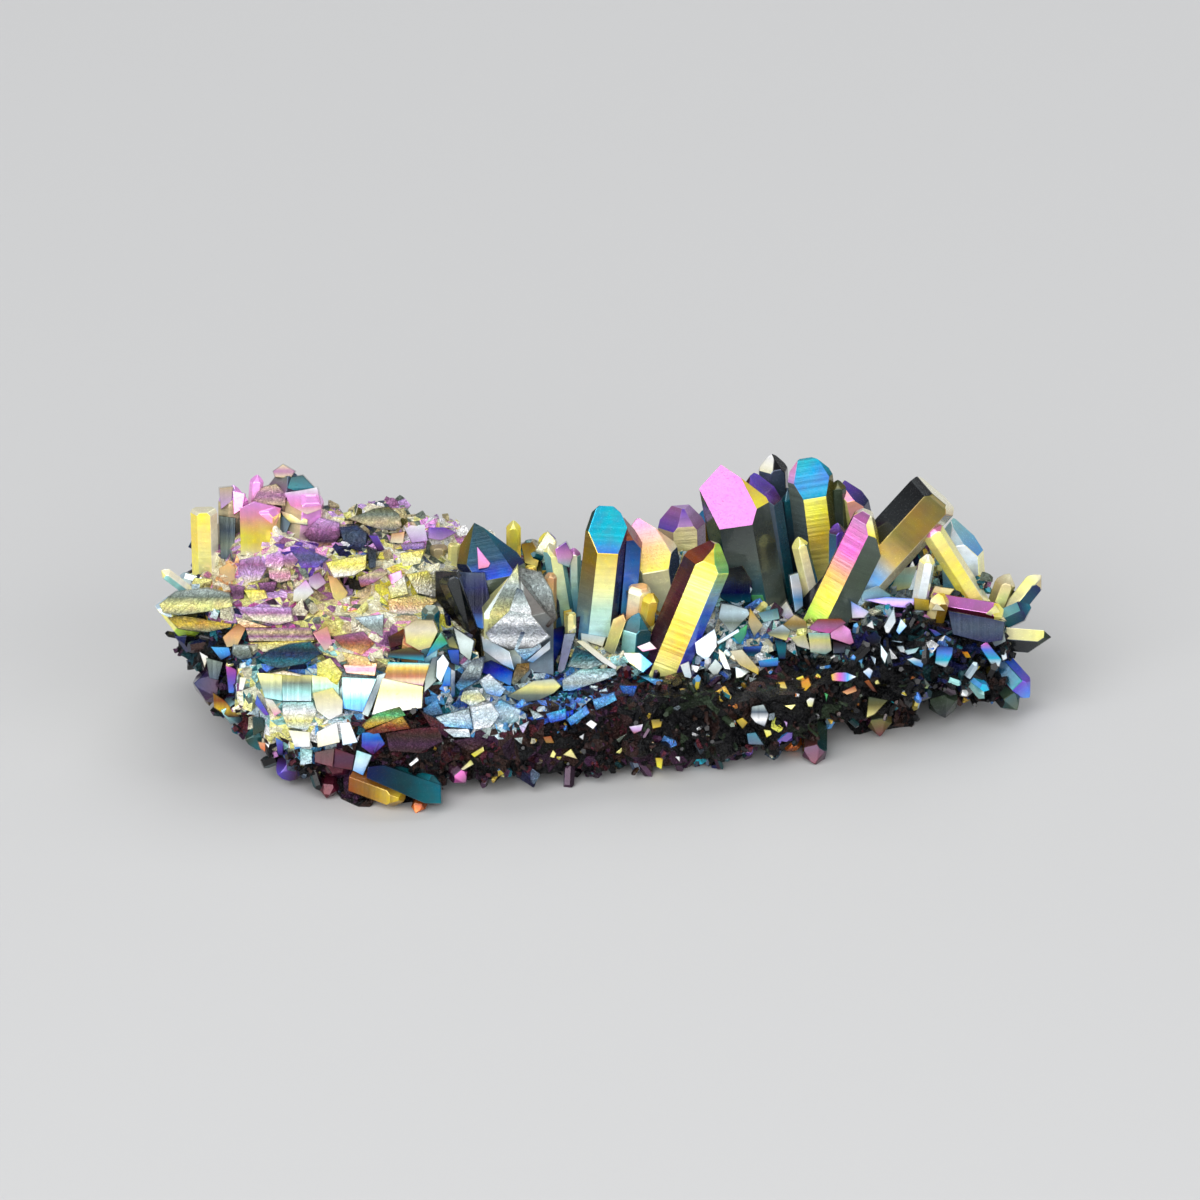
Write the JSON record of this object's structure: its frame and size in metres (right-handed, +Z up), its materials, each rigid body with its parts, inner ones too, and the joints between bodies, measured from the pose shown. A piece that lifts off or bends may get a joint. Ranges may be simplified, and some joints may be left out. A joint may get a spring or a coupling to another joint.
{
  "type": "aura quartz cluster",
  "caption": "Low plate of pointed quartz crystals grown together at one end and broken crust at the other, under an iridescent metal film; it rests on flats on its underside.",
  "frame": {"origin": "centre of the cluster's bounding box, at the level it rests on", "axes": "+X along the cluster's length, towards the end with the tall leaning crystals; +Y away from the side with the low front edge; +Z up"},
  "size_m": [0.1129, 0.0551, 0.0294],
  "materials": {
    "aura_quartz": "polished"
  },
  "bodies": {
    "root": {"quartz_cluster": "aura_quartz"}
  },
  "joints": []
}
